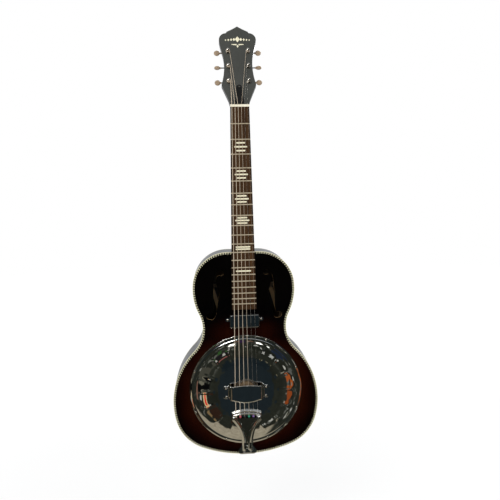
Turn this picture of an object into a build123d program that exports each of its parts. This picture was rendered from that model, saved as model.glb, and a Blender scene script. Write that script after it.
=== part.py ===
from build123d import *
import os
from math import atan, cos, pi, radians, sin, tan

# Resonator guitar: wooden body with one spun cone, 12 frets to the body, 20 frets in all.
# X points to the viewer's right, Y into the body, Z up along the neck.
# The origin is the middle of the nut's front edge, on the playing surface of the fretboard.

# Scale and fretboard
SCALE = 645.0
FRETS = 20
NUT_WIDTH = 42.0
WIDTH_AT_LAST_FRET = 56.6
BOARD_THICKNESS = 7.0
BOARD_OVERHANG = 13.6
FRET_WIDTH = 2.4
FRET_HEIGHT = 1.0
NUT_THICKNESS = 5.5

# Body: outline as tangent arcs (radius, degrees) from the tail to the shoulder
BODY_ARCS = ((283.0, 22.1), (99.5, 53.2), (173.0, 59.9), (-78.0, 71.1), (129.0, 32.5), (80.6, 83.4))
TOP_Y = BOARD_THICKNESS
TOP_THICKNESS = 3.2
BACK_THICKNESS = 3.0
SIDE_THICKNESS = 2.4
BINDING_HEIGHT = 5.0
PURFLING_WIDTH = 2.2
PURFLING_DEPTH = 1.4
DEPTH_AT_TAIL = 78.0
DEPTH_AT_SHOULDER = 71.0
LINING_WIDTH = 6.0
LINING_HEIGHT = 14.0
SIDE_JOINTS = (-788.0, -742.0, -655.0, -570.0, -515.0, -465.0, -395.0, -346.0)

# Cone, soundwell and cover plate, all about one axis through the saddle
CONE_Z = -(SCALE + 5.0)
CONE_RADIUS = 120.6
CONE_SHEET = 0.6
CONE_RIM_Y = 33.4
CONE_TOP_Y = 5.6
WELL_INNER = 121.5
WELL_OUTER = 130.0
WELL_BACK_Y = 40.0
LEDGE_INNER = 113.0
BISCUIT_RADIUS = 22.0
BISCUIT_FRONT_Y = -0.4
SADDLE_LENGTH = 54.0
SADDLE_THICKNESS = 3.2
COVER_RADIUS = 132.0
COVER_SHEET = 0.9
COVER_OPENING = 28.0
COVER_PLATEAU_Y = -1.0
COVER_DOME_START = 60.0
COVER_DOME_END = 124.3
COVER_DOME_POWER = 1.7
COVER_SCREW_CIRCLE = 129.0
COVER_FLUTES = 16
FLUTE_RADIUS = 92.0
FLUTE_LEAN = 5.0
COVER_SCREW_HEAD = 2.5
COVER_SCREW_LENGTH = 3.5
PICKUP_SCREW_HEAD = 2.4
PICKUP_SCREW_LENGTH = 3.2
SHANK_SHARE = 0.45

# Strings, bass side first: diameter of each, and whether it is wound
STRINGS = ((1.42, True), (1.17, True), (0.91, True), (0.66, True), (0.43, False), (0.33, False))
STRING_SPACING_NUT = 7.0
STRING_SPACING_SADDLE = 10.3
STRING_Y_NUT = -1.9
STRING_Y_SADDLE = -5.8
ANCHOR_Z = -711.0
ANCHOR_Y = -3.9

# Headstock
HEAD_TILT = 14.0
HEAD_THICKNESS = 15.6
VENEER = 1.6
POST_ROWS = (53.5, 89.0, 124.5)
POST_X = 22.3
POST_RADIUS = 3.0
POST_HEIGHT = 9.5
STRING_AT_POST = 4.2
GEAR_TEETH = 14
GEAR_PITCH_RADIUS = 4.1
GEAR_TIP_RADIUS = 4.55
GEAR_ROOT_RADIUS = 3.3
GEAR_THICKNESS = 3.0
WORM_TIP_RADIUS = 2.4
WORM_CORE_RADIUS = 1.2
WORM_OFFSET = 6.1
KEY_DEPTH = -19.0
KEY_RADIUS = 1.25
BUTTON_X = 47.0
RUNNING_GAP = 0.06

SHOULDER_Z = -SCALE / 2


def fret_z(number):
    """Height of a fret; fret 0 is the nut."""
    return -SCALE * (1 - 2 ** (-number / 12))


def board_width(z):
    """Fretboard width at a height."""
    return NUT_WIDTH + (WIDTH_AT_LAST_FRET - NUT_WIDTH) * z / fret_z(FRETS)


def outline_arcs(inset):
    """Right half of the body outline, tail at z = 0, as three points for each arc."""
    x, z, heading = 0.0, inset, 0.0
    arcs = []
    for radius, turn in BODY_ARCS:
        bend = 1 if radius > 0 else -1
        r = abs(radius) - bend * inset
        centre_x = x - bend * r * sin(heading)
        centre_z = z + bend * r * cos(heading)
        headings = [heading + bend * radians(turn) * part for part in (0.0, 0.5, 1.0)]
        points = [(centre_x + bend * r * sin(h), centre_z - bend * r * cos(h)) for h in headings]
        arcs.append(points)
        x, z = points[2]
        heading = headings[2]
    return arcs


TAIL_Z = SHOULDER_Z - outline_arcs(0.0)[-1][2][1]


def body_face(inset):
    """Body outline moved inwards by inset, in the plan's own x and z."""
    right = [[(x, z + TAIL_Z) for x, z in arc] for arc in outline_arcs(inset)]
    left = [[(-x, z) for x, z in reversed(arc)] for arc in reversed(right)]
    edges = [ThreePointArc(*arc) for arc in right]
    edges.append(Line(right[-1][2], left[0][0]))
    edges.extend(ThreePointArc(*arc) for arc in left)
    return make_face(edges)


def plan(y):
    """Plane whose own x and y are the guitar's X and Z, at a depth y, facing the player."""
    return Plane(origin=(0, y, 0), x_dir=(1, 0, 0), z_dir=(0, -1, 0))


def prism(face, y_front, y_back):
    """Plan shape given thickness between two depths."""
    return extrude(plan(y_back) * face, amount=y_back - y_front)


def block(x0, x1, y0, y1, z0, z1):
    """Box between two corners."""
    return Pos((x0 + x1) / 2, (y0 + y1) / 2, (z0 + z1) / 2) * Box(x1 - x0, y1 - y0, z1 - z0)


def rod(start, end, radius):
    """Straight round rod between two points."""
    a, b = Vector(*start), Vector(*end)
    along = (b - a).normalized()
    return extrude(Plane(origin=a, z_dir=along) * Circle(radius), amount=(b - a).length)


def about_cone(y):
    """Plane of the cone's axis at a depth y, facing the player."""
    return Plane(origin=(0, y, CONE_Z), x_dir=(1, 0, 0), z_dir=(0, -1, 0))


def disc(radius, y_front, y_back):
    """Round plate on the cone's axis."""
    return extrude(about_cone(y_back) * Circle(radius), amount=y_back - y_front)


def around_cone(profile):
    """Closed profile of (radius, depth) points turned about the cone's axis."""
    points = [(radius, y, CONE_Z) for radius, y in profile]
    return revolve(make_face(Polyline(*points, close=True)), Axis((0, 0, CONE_Z), (0, 1, 0)))


BACK_LEAN = atan((DEPTH_AT_TAIL - DEPTH_AT_SHOULDER) / (SHOULDER_Z - TAIL_Z))
BACK_NORMAL = (0, cos(BACK_LEAN), sin(BACK_LEAN))
BACK = Plane(origin=(0, TOP_Y + DEPTH_AT_TAIL, TAIL_Z), x_dir=(1, 0, 0), z_dir=BACK_NORMAL)


def back_slab(near, far):
    """Everything between two depths measured in from the back's outer face."""
    return BACK * Pos(0, 0, -(near + far) / 2) * Box(1200, 1600, far - near)


def group(solids):
    """Separate solids that share one node."""
    return Compound(children=list(solids))


# Body -------------------------------------------------------------------------------------

def f_hole_face(side):
    """Sound hole: two round eyes joined by a curved stem that is widest at its nick."""
    outer = [(52, -363.5), (62, -368), (68, -384), (70, -405), (70.5, -430), (71.5, -452), (75, -467)]
    inner = [(80, -478), (72, -478), (65.5, -467), (62, -450), (59, -432), (56, -416)]
    upper = [(56, -416), (60.5, -404), (63, -391), (61.5, -380), (56.5, -375)]

    def mirrored(points):
        return [(side * x, z) for x, z in points]
    edges = [
        Spline(*mirrored(outer)),
        Line(*mirrored([outer[-1], inner[0]])),
        Spline(*mirrored(inner)),
        Spline(*mirrored(upper)),
        Line(*mirrored([upper[-1], outer[0]])),
    ]
    eyes = Pos(side * 52, -370) * Circle(6.5) + Pos(side * 80, -470.5) * Circle(7.5)
    return make_face(edges) + eyes


PICKUP_Z = -483.2


def soundboard():
    board = prism(body_face(SIDE_THICKNESS + PURFLING_WIDTH), TOP_Y, TOP_Y + PURFLING_DEPTH)
    board += prism(body_face(SIDE_THICKNESS), TOP_Y + PURFLING_DEPTH, TOP_Y + TOP_THICKNESS)
    board -= disc(WELL_INNER, TOP_Y - 1, TOP_Y + 9)
    for side in (-1, 1):
        board -= prism(f_hole_face(side), TOP_Y - 1, TOP_Y + 9)
    board -= prism(Pos(0, PICKUP_Z) * RectangleRounded(67, 28, 3), TOP_Y - 1, TOP_Y + 9)
    for x, z in cover_screw_points():
        board -= screw_shank(x, z, TOP_Y - COVER_SHEET, COVER_SCREW_HEAD, COVER_SCREW_LENGTH)
    for x, z in pickup_screw_points():
        board -= screw_shank(x, z, TOP_Y - PICKUP_TAB, PICKUP_SCREW_HEAD, PICKUP_SCREW_LENGTH)
    return board


def edge_ring(outer, inner, y_front, y_back):
    return prism(body_face(outer) - body_face(inner), y_front, y_back)


def side_half(side):
    """One side, from the top binding to the back binding, as short lengths that follow each curve."""
    ring = edge_ring(0, SIDE_THICKNESS, TOP_Y + BINDING_HEIGHT, TOP_Y + 100)
    ring &= back_slab(BINDING_HEIGHT, 300)
    ring -= jack_clearance()
    ring -= neck_tenon()
    levels = (TAIL_Z - 5, *SIDE_JOINTS, SHOULDER_Z + 5)
    x0, x1 = sorted((0, side * 200))
    return group(ring & block(x0, x1, 0, 120, low, high) for low, high in zip(levels, levels[1:]))


def jack_clearance():
    """Round hole through the tail for the end-pin jack."""
    return rod((0, JACK_Y, TAIL_Z - 5), (0, JACK_Y, TAIL_Z + 40), JACK_BODY_RADIUS)


JACK_Y = 46.0
JACK_BODY_RADIUS = 6.0
JACK_BORE_RADIUS = 3.25
JACK_BORE_LENGTH = 30.0
BLOCK_HALF_WIDTH = 30.0
NECK_BLOCK_LENGTH = 46.0
END_BLOCK_LENGTH = 18.0


def inner_air(inset):
    """Space between the soundboard and the back, inside an inset outline."""
    return prism(body_face(inset), TOP_Y + TOP_THICKNESS, TOP_Y + 100) & back_slab(BACK_THICKNESS, 300)


def neck_tenon():
    return block(-11, 11, 12.5, 62, SHOULDER_Z - 30, SHOULDER_Z + 2)


def neck_block():
    low = SHOULDER_Z - NECK_BLOCK_LENGTH
    wood = block(-BLOCK_HALF_WIDTH, BLOCK_HALF_WIDTH, 0, 120, low, SHOULDER_Z)
    return (inner_air(SIDE_THICKNESS) & wood) - neck_tenon()


def end_block():
    high = TAIL_Z + SIDE_THICKNESS + END_BLOCK_LENGTH
    wood = block(-BLOCK_HALF_WIDTH, BLOCK_HALF_WIDTH, 0, 120, TAIL_Z, high)
    return (inner_air(SIDE_THICKNESS) & wood) - jack_clearance()


def linings():
    """Strips that widen the glue line between the sides and the two plates."""
    strips = inner_air(SIDE_THICKNESS) - inner_air(SIDE_THICKNESS + LINING_WIDTH)
    strips -= block(-BLOCK_HALF_WIDTH, BLOCK_HALF_WIDTH, 0, 120, TAIL_Z, SHOULDER_Z)
    top = strips & block(-200, 200, 0, TOP_Y + TOP_THICKNESS + LINING_HEIGHT, TAIL_Z, SHOULDER_Z)
    back = strips & back_slab(BACK_THICKNESS, BACK_THICKNESS + LINING_HEIGHT)
    return group(list(top.solids()) + list(back.solids()))


def braces():
    """Cross bars under the soundboard and ladder bars on the back."""
    inside = inner_air(SIDE_THICKNESS + LINING_WIDTH)
    bars = []
    for z in (-385.0, -452.0, -507.0):
        half = 48.0 if z > -500 else 85.0
        bar = block(-half, half, TOP_Y + TOP_THICKNESS, TOP_Y + TOP_THICKNESS + 11, z - 3.5, z + 3.5)
        bars.append(bar & inside)
    for z in (-410.0, -505.0, -610.0, -715.0):
        bar = block(-200, 200, 0, 120, z - 4, z + 4) & back_slab(BACK_THICKNESS, BACK_THICKNESS + 10)
        bars.append(bar & inside)
    return group(bars)


def soundwell():
    """Laminated ring that carries the cone on a ledge, with round ports through its wall."""
    wall = disc(WELL_OUTER, TOP_Y + TOP_THICKNESS, WELL_BACK_Y)
    wall -= disc(WELL_INNER, TOP_Y, WELL_BACK_Y + 1)
    ledge = disc(WELL_INNER, CONE_RIM_Y + CONE_SHEET, WELL_BACK_Y)
    ledge -= disc(LEDGE_INNER, TOP_Y, WELL_BACK_Y + 1)
    ring = wall + ledge
    for port in range(8):
        angle = radians(22.5 + 45 * port)
        reach = WELL_OUTER + 5
        inner = (100 * cos(angle), 22.0, CONE_Z + 100 * sin(angle))
        outer = (reach * cos(angle), 22.0, CONE_Z + reach * sin(angle))
        ring -= rod(inner, outer, 7.5)
    return ring


# Cone, biscuit, saddle and cover plate ------------------------------------------------------

CONE_FLAT = 25.0
CONE_FOOT = 110.0


def cone():
    """Spun sheet: flat top, sloping wall and a flat rim, open at the back."""
    t = CONE_SHEET
    top, rim = CONE_TOP_Y, CONE_RIM_Y
    front = [(2.2, top), (CONE_FLAT, top), (CONE_FOOT, rim), (CONE_RADIUS, rim)]
    back = [(CONE_RADIUS, rim + t), (CONE_FOOT - 1, rim + t), (CONE_FLAT - 0.3, top + t), (2.2, top + t)]
    return around_cone(front + back)


def biscuit():
    wood = disc(BISCUIT_RADIUS, BISCUIT_FRONT_Y, CONE_TOP_Y)
    slot = block(-35, 35, BISCUIT_FRONT_Y - 1, BISCUIT_FRONT_Y + 2.6, saddle_low(), saddle_high())
    return wood - slot - disc(1.6, CONE_TOP_Y - 2.6, CONE_TOP_Y + 1)


def saddle_low():
    return -SCALE - SADDLE_THICKNESS / 2


def saddle_high():
    return -SCALE + SADDLE_THICKNESS / 2


def saddle():
    """Maple strip on edge in the biscuit's slot, notched for each string."""
    front = STRING_Y_SADDLE + 0.3
    half = SADDLE_LENGTH / 2
    blank = block(-half, half, front, BISCUIT_FRONT_Y - 0.1, saddle_low(), saddle_high())
    blank += block(-20.5, 20.5, front, BISCUIT_FRONT_Y + 2.6, saddle_low(), saddle_high())
    for index in range(len(STRINGS)):
        blank -= string_path(index, 0.03)
    return blank


def cone_screw():
    """Screw that holds the biscuit from behind the cone."""
    underside = CONE_TOP_Y + CONE_SHEET
    return disc(1.6, CONE_TOP_Y - 2.6, underside) + disc(4.0, underside, CONE_TOP_Y + 2.8)


def dome_y(radius):
    """Front of the cover plate: flat middle, then a dome that steepens towards the rim."""
    t = max(0.0, (radius - COVER_DOME_START) / (COVER_DOME_END - COVER_DOME_START))
    rise = 1 - (1 - t ** COVER_DOME_POWER) ** (1 / COVER_DOME_POWER)
    return COVER_PLATEAU_Y + (TOP_Y - COVER_SHEET - COVER_PLATEAU_Y) * rise


def coverplate():
    """Pressed plate: flat rim, dome, flat middle with a turned-down lip, and shallow flutes."""
    t, flat, rim = COVER_SHEET, COVER_PLATEAU_Y, TOP_Y - COVER_SHEET
    radii = (COVER_DOME_START, 72, 84, 95, 105, 113, 118.5, 122, 123.6, COVER_DOME_END)
    front = [(radius, dome_y(radius), CONE_Z) for radius in radii]
    back = [(radius - 0.3, dome_y(radius) + t, CONE_Z) for radius in radii]
    lip = COVER_OPENING
    corners = [
        front[0], (lip, flat, CONE_Z), (lip, flat + 2.4, CONE_Z), (lip + t, flat + 2.4, CONE_Z),
        (lip + t, flat + t, CONE_Z), back[0],
    ]
    rim_corners = [front[-1], (COVER_RADIUS, rim, CONE_Z), (COVER_RADIUS, TOP_Y, CONE_Z), back[-1]]
    edges = [Polyline(*corners), Spline(*back), Polyline(*rim_corners), Spline(*front)]
    plate = revolve(make_face(edges), Axis((0, 0, CONE_Z), (0, 1, 0)))
    for flute in range(COVER_FLUTES):
        angle = 360 / COVER_FLUTES * flute
        rib = scale(Sphere(1), by=(19, 6.5, 1.0))
        seat = about_cone(dome_y(FLUTE_RADIUS) + 0.5) * Rot(0, 0, angle) * Pos(FLUTE_RADIUS, 0, 0)
        plate += seat * Rot(0, FLUTE_LEAN, 0) * rib
    for x, z in cover_screw_points():
        plate -= rod((x, 0, z), (x, 12, z), 1.7)
    for x, z in handrest_screw_points():
        plate -= rod((x, -6, z), (x, 12, z), 1.5)
    return plate


def cover_screw_points():
    angles = [radians(22.5 + 45 * index) for index in range(8)]
    return [(COVER_SCREW_CIRCLE * cos(a), CONE_Z + COVER_SCREW_CIRCLE * sin(a)) for a in angles]


def screw_shank(x, z, seat_y, head_radius, length):
    return rod((x, seat_y, z), (x, seat_y + length, z), head_radius * SHANK_SHARE)


def dome_screw(x, z, seat_y, head_radius, length):
    """Round-head screw: shallow dome in front of its seat and a plain shank behind it."""
    head = Pos(x, seat_y + head_radius * 0.9, z) * Sphere(head_radius * 1.35)
    head &= block(x - 9, x + 9, seat_y - 9, seat_y, z - 9, z + 9)
    head -= block(x - 9, x + 9, seat_y - 9, seat_y - 0.25 * head_radius, z - 0.3, z + 0.3)
    return head + screw_shank(x, z, seat_y, head_radius, length)


def coverplate_screws():
    seat = TOP_Y - COVER_SHEET
    screws = (dome_screw(x, z, seat, COVER_SCREW_HEAD, COVER_SCREW_LENGTH) for x, z in cover_screw_points())
    return group(screws)


# Hand rest over the saddle ------------------------------------------------------------------

REST_SHEET = 1.2
REST_FRONT_Y = -14.5
REST_HALF_TOP = 38.6
REST_HALF_FOOT = 41.0
REST_HALF_WIDTH = 54.0
REST_FOOT_RADIUS = 2.0
REST_BROW_RADIUS = 5.5
REST_CROWN = 0.9


def handrest_screw_points():
    return [(side * 47.2, z) for side in (-1, 1) for z in (-641.6, -662.2)]


def rounded_path(corners):
    """Lines and arcs through (x, y, radius) corners; the two ends keep their place."""
    edges, last = [], corners[0][:2]
    for before, here, after in zip(corners, corners[1:], corners[2:]):
        corner = Vector(*here[:2])
        back = (Vector(*before[:2]) - corner).normalized()
        ahead = (Vector(*after[:2]) - corner).normalized()
        half_angle = radians(back.get_angle(ahead)) / 2
        start = corner + back * (here[2] / tan(half_angle))
        end = corner + ahead * (here[2] / tan(half_angle))
        middle = corner + (back + ahead).normalized() * (here[2] / sin(half_angle) - here[2])
        edges += [Line(last, start), ThreePointArc(start, middle, end)]
        last = end
    edges.append(Line(last, corners[-1][:2]))
    return edges


def rest_section(inset):
    """Corners of the hand rest seen along the strings, moved back by inset, with their radii."""
    seat = COVER_PLATEAU_Y - REST_SHEET + inset
    top = REST_FRONT_Y + inset
    foot, knee, brow = REST_HALF_FOOT - inset, REST_FOOT_RADIUS + inset, REST_BROW_RADIUS - inset
    half = [(REST_HALF_WIDTH, seat, 0), (foot, seat, knee), (REST_HALF_TOP - inset, top, brow)]
    return [(-x, y, r) for x, y, r in half] + [(0, top - REST_CROWN, 400.0)] + half[::-1]


def rest_plan():
    """Hand rest seen from the front: a bowed middle and two ears with rounded corners."""
    neck_side, tail_side, ear_top, ear_low = -636.0, -663.0, -637.4, -666.4
    right = [
        (42.5, neck_side), (43, ear_top), (REST_HALF_WIDTH, ear_top),
        (REST_HALF_WIDTH, ear_low), (44.5, ear_low), (42.5, tail_side),
    ]
    left = [(-x, z) for x, z in right[::-1]]
    edges = [
        ThreePointArc(left[-1], (0, neck_side + 3.2), right[0]), Polyline(*right),
        ThreePointArc(right[-1], (0, tail_side - 11.2), left[0]), Polyline(*left),
    ]
    plan = make_face(edges)
    return fillet([corner for corner in plan.vertices() if abs(corner.X) > REST_HALF_WIDTH - 1], 5)


def handrest():
    """Bent sheet bridge over the saddle."""
    outer, inner = rest_section(0), rest_section(REST_SHEET)
    ends = [Line(outer[0][:2], inner[0][:2]), Line(outer[-1][:2], inner[-1][:2])]
    section = Plane(origin=(0, 0, -690), x_dir=(1, 0, 0), z_dir=(0, 0, 1))
    sheet = extrude(section * make_face(rounded_path(outer) + rounded_path(inner) + ends), amount=70)
    sheet &= prism(rest_plan(), -30, 20)
    for x, z in handrest_screw_points():
        sheet -= rod((x, -6, z), (x, 12, z), 1.5)
    return sheet


def handrest_screws():
    seat = COVER_PLATEAU_Y - REST_SHEET
    return group(dome_screw(x, z, seat, 2.6, 3.2) for x, z in handrest_screw_points())


# Tailpiece ----------------------------------------------------------------------------------

HINGE_Z = -802.5
HINGE_Y = 1.6
HINGE_PIN_RADIUS = 1.2
LEG_HALF_WIDTH = 6.2
LEG_HALF_DEPTH = 3.0
LEG_SLOPE = 4.0
BRACKET_HALF_WIDTH = 22.0


def tailpiece():
    """Trapeze tailpiece: string bars, two broad rounded legs that close into a stem, hinge barrel."""
    y = ANCHOR_Y
    metal = tail_web()
    for side in (-1, 1):
        metal += rod((side * 33, y, -703), (side * 33, y, -715), 2.4)
        metal += Pos(side * 33, y, -703) * Sphere(2.5)
        metal += tail_leg(side)
    for end_z, rise in ((-703, 5.4), (-709, 5.0)):
        arch = ThreePointArc((-33, y, end_z), (0, y, end_z + rise), (33, y, end_z))
        metal += sweep(Plane(origin=arch @ 0, z_dir=arch % 0) * Circle(2.2), arch)
    for side in (-1, 1):
        metal -= prism(Pos(side * 6.3, -784.5) * SlotOverall(17, 4.4, rotation=90), -9, 6)
    metal += block(-6, 6, -1.9, HINGE_Y, -801, -795)
    metal += rod((-6, HINGE_Y, HINGE_Z), (6, HINGE_Y, HINGE_Z), 2.5)
    metal -= rod((-9, HINGE_Y, HINGE_Z), (9, HINGE_Y, HINGE_Z), HINGE_PIN_RADIUS + 0.05)
    for index in range(len(STRINGS)):
        metal -= string_path(index, 0.25)
    for x in anchor_xs():
        metal -= rod((x - 2.3, y, ANCHOR_Z), (x + 2.3, y, ANCHOR_Z), 2.4)
    return metal


def tail_web():
    """Thin plate between the legs, sloping back towards the tail with them."""
    top = -714
    outline = [(-32, 0), (32, 0), (20, -11), (8, -36), (8, -61), (-8, -61), (-8, -36), (-20, -11)]
    plate = prism(make_face(Polyline(*outline, close=True)), -0.6, 0.6)
    return Pos(0, -5.4, top) * Rot(LEG_SLOPE, 0, 0) * plate


def tail_leg(side):
    """Leg of oval section from a corner of the string frame down to the hinge."""
    route = [(30, -6.4, -715), (21, -5.4, -727), (11.5, -3.7, -748), (7.4, -1.6, -772), (6.7, 0.6, -796)]
    path = Spline(*[(side * x, y, z) for x, y, z in route])
    across = (path % 0).cross(Vector(0, 1, 0))
    start = Plane(origin=path @ 0, x_dir=across, z_dir=path % 0)
    leg = sweep(start * Ellipse(LEG_HALF_WIDTH, LEG_HALF_DEPTH), path)
    leg += Pos(*path @ 0) * scale(Sphere(1), by=(5.4, LEG_HALF_DEPTH - 0.1, 5.4))
    return leg + Pos(*path @ 1) * scale(Sphere(1), by=(LEG_HALF_WIDTH - 0.1, LEG_HALF_DEPTH - 0.1, 3.2))


def anchor_xs():
    return [string_x(index, STRING_SPACING_SADDLE) for index in range(len(STRINGS))]


def ball_ends():
    """Small grooved barrels that stop each string at the tailpiece."""
    balls = []
    for x in anchor_xs():
        barrel = rod((x - 2.0, ANCHOR_Y, ANCHOR_Z), (x + 2.0, ANCHOR_Y, ANCHOR_Z), 2.1)
        groove = rod((x - 0.7, ANCHOR_Y, ANCHOR_Z), (x + 0.7, ANCHOR_Y, ANCHOR_Z), 3.0)
        groove -= rod((x - 1.0, ANCHOR_Y, ANCHOR_Z), (x + 1.0, ANCHOR_Y, ANCHOR_Z), 1.6)
        balls.append(barrel - groove)
    return group(balls)


def tail_bracket():
    """Bent strap over the tail edge: flared front, hinge ears, and a leg with the jack hole."""
    edge, wide = TAIL_Z - 2, BRACKET_HALF_WIDTH
    front, bend, narrow = TOP_Y - 1.8, 4.0, 15.5
    right = [(11, -785), (wide, -799.5), (wide, -804), (narrow, edge)]
    flare = make_face(Polyline(*right, *[(-x, z) for x, z in right[::-1]], close=True))
    flare = fillet([corner for corner in flare.vertices() if abs(corner.X) > narrow + 1], 2.0)
    strap = prism(flare, front, TOP_Y) + block(-narrow, narrow, front, 58, edge, TAIL_Z)
    outside = block(-narrow - 9, narrow + 9, front - 1, front + bend, edge - 1, edge + bend)
    axis_y, axis_z = front + bend, edge + bend
    strap -= outside - rod((-narrow - 9, axis_y, axis_z), (narrow + 9, axis_y, axis_z), bend)
    for side in (-1, 1):
        x0, x1 = sorted((side * 6.4, side * 8.8))
        strap += block(x0, x1, HINGE_Y, TOP_Y - 1.0, HINGE_Z - 2.6, HINGE_Z + 2.6)
        strap += rod((x0, HINGE_Y, HINGE_Z), (x1, HINGE_Y, HINGE_Z), 2.6)
    strap -= rod((-9, HINGE_Y, HINGE_Z), (9, HINGE_Y, HINGE_Z), HINGE_PIN_RADIUS)
    return strap - jack_clearance() - body_solid()


def body_solid():
    return prism(body_face(0), TOP_Y, TOP_Y + 100)


def tailpiece_pin():
    return rod((-9.6, HINGE_Y, HINGE_Z), (9.6, HINGE_Y, HINGE_Z), HINGE_PIN_RADIUS)


def end_pin_jack():
    """Strap button and output socket in one turned tube through the end block."""
    face = TAIL_Z - 2.0
    tube = rod((0, JACK_Y, face - 12), (0, JACK_Y, TAIL_Z + 34), JACK_BODY_RADIUS - 0.02)
    tube += rod((0, JACK_Y, face - 12), (0, JACK_Y, face - 8.5), 7.6)
    tube += rod((0, JACK_Y, face - 2.2), (0, JACK_Y, face), 8.6)
    return tube - rod((0, JACK_Y, face - 13), (0, JACK_Y, face - 12 + JACK_BORE_LENGTH), JACK_BORE_RADIUS)


def jack_nut():
    """Hexagonal nut inside the end block."""
    face = TAIL_Z + SIDE_THICKNESS + END_BLOCK_LENGTH
    hexagon = Plane(origin=(0, JACK_Y, face), z_dir=(0, 0, 1)) * RegularPolygon(9.0, 6)
    return extrude(hexagon, amount=3.5) - jack_clearance()


# Pickup -------------------------------------------------------------------------------------

PICKUP_LENGTH = 68.4
PICKUP_WIDTH = 29.2
PICKUP_FRONT_Y = -1.4
PICKUP_TAB = 1.0


def pickup_screw_points():
    return [(side * 39.25, PICKUP_Z + 3) for side in (-1, 1)]


def pickup_cover():
    """Drawn metal cover with rounded corners, open at the back, and two screw tabs."""
    footprint = Pos(0, PICKUP_Z) * RectangleRounded(PICKUP_LENGTH, PICKUP_WIDTH, 3.4)
    shell = prism(footprint, PICKUP_FRONT_Y, TOP_Y - 0.1)
    front_edges = shell.faces().sort_by(Axis.Y)[0].edges()
    shell = fillet(front_edges, 1.1)
    shell -= prism(Pos(0, PICKUP_Z) * RectangleRounded(66.6, 27.4, 2.6), PICKUP_FRONT_Y + 0.8, TOP_Y + 1)
    for side in (-1, 1):
        tab = prism(Pos(side * 38.4, PICKUP_Z + 3) * RectangleRounded(11, 9, 3.5), TOP_Y - PICKUP_TAB, TOP_Y)
        shell += tab - prism(Pos(0, PICKUP_Z) * Rectangle(67, 40), 0, 20)
    for x, z in pickup_screw_points():
        shell -= rod((x, 0, z), (x, 12, z), 1.4)
    return shell


def pickup_core():
    """Base plate with two coils on a bar magnet."""
    core = block(-32.5, 32.5, 15, 16.4, PICKUP_Z - 13, PICKUP_Z + 13)
    core += block(-28, 28, 12, 15, PICKUP_Z - 3, PICKUP_Z + 3)
    for side in (-1, 1):
        coil = prism(Pos(0, PICKUP_Z + side * 6.6) * SlotOverall(62, 11.6), 0.4, 12)
        core += coil + block(-24, 24, 12, 15, PICKUP_Z + side * 6.6 - 2, PICKUP_Z + side * 6.6 + 2)
    return core


def pickup_screws():
    seat = TOP_Y - PICKUP_TAB
    size = (PICKUP_SCREW_HEAD, PICKUP_SCREW_LENGTH)
    screws = (dome_screw(x, z, seat, *size) for x, z in pickup_screw_points())
    return group(screws)


# Neck, fretboard and headstock --------------------------------------------------------------

HEAD = Plane(
    origin=(0, 2.2, NUT_THICKNESS), x_dir=(1, 0, 0),
    z_dir=(0, -cos(radians(HEAD_TILT)), sin(radians(HEAD_TILT))),
)


def neck_section(z, depth):
    """Half-round neck section behind the fretboard."""
    half = board_width(z) / 2
    edges = [
        Line((-half, BOARD_THICKNESS), (half, BOARD_THICKNESS)),
        EllipticalCenterArc((0, BOARD_THICKNESS), half, depth, start_angle=0, arc_size=180),
    ]
    return Pos(0, 0, z) * make_face(edges)


def head_face():
    """Headstock outline: pointed crest, small steps, rounded ears, waist and lower flare."""
    def half(side):
        def at(x, y):
            return (side * x, y)
        waist = [at(41.5, 151), at(37.6, 132), at(33.3, 114), at(31.5, 95), at(32.6, 74), at(38.5, 46)]
        return [
            ThreePointArc(at(0, 184.4), at(11.5, 177.6), at(23.5, 171.8)),
            Line(at(23.5, 171.8), at(26, 168.2)),
            ThreePointArc(at(26, 168.2), at(36.8, 163.6), at(41.5, 151)),
            Spline(*waist),
            Line(at(38.5, 46), at(24.2, 12)),
            Line(at(24.2, 12), at(NUT_WIDTH / 2, 0)),
        ]
    edges = half(1) + half(-1)
    edges.append(Line((NUT_WIDTH / 2, 0), (-NUT_WIDTH / 2, 0)))
    return make_face(edges)


def post_points():
    """Each tuner's number, side and place on the headstock, bass side first, nut end first."""
    left = [(index + 1, -1, y) for index, y in enumerate(POST_ROWS)]
    right = [(index + 4, 1, y) for index, y in enumerate(reversed(POST_ROWS))]
    return left + right


def on_head(x, y, z0, z1, radius):
    """Round solid standing square to the headstock face."""
    return HEAD * Pos(x, y, z0) * Cylinder(radius, z1 - z0, align=(Align.CENTER, Align.CENTER, Align.MIN))


def neck():
    """One piece of timber: shaft, heel, tenon and headstock."""
    shaft = loft([neck_section(0.5, 14.0), neck_section(-120, 14.5), neck_section(-258, 16.5)])
    heel = loft([
        neck_section(-258, 16.5), neck_section(-284, 20.0), neck_section(-304, 33.0),
        neck_section(-316, 52.0), neck_section(SHOULDER_Z, 63.0),
    ])
    head = HEAD * Pos(0, 0, -VENEER) * extrude(head_face(), amount=-(HEAD_THICKNESS - VENEER))
    throat = loft([neck_section(0.5, 14.0), neck_section(9.0, 13.0), neck_section(26.0, 13.2)])
    throat &= HEAD * Pos(0, 10, -VENEER - 30) * Box(90, 60, 60)
    timber = shaft + heel + head + throat + (neck_tenon() & block(-20, 20, 0, 90, -400, SHOULDER_Z))
    timber -= rod((0, 12.2, 30), (0, 12.2, -316), 2.6)
    for number, side, y in post_points():
        timber -= on_head(side * POST_X, y, -7, 0, 4.2)
        timber -= on_head(side * POST_X, y, -30, -6, 3.3)
    return timber


def head_veneer():
    """Thin dark face glued to the headstock."""
    face = HEAD * Pos(0, 0, -VENEER) * extrude(head_face(), amount=VENEER)
    face -= block(-30, 30, -10, 20, -10, NUT_THICKNESS + 0.05)
    for number, side, y in post_points():
        face -= on_head(side * POST_X, y, -7, 1, 4.2)
    return face


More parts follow.
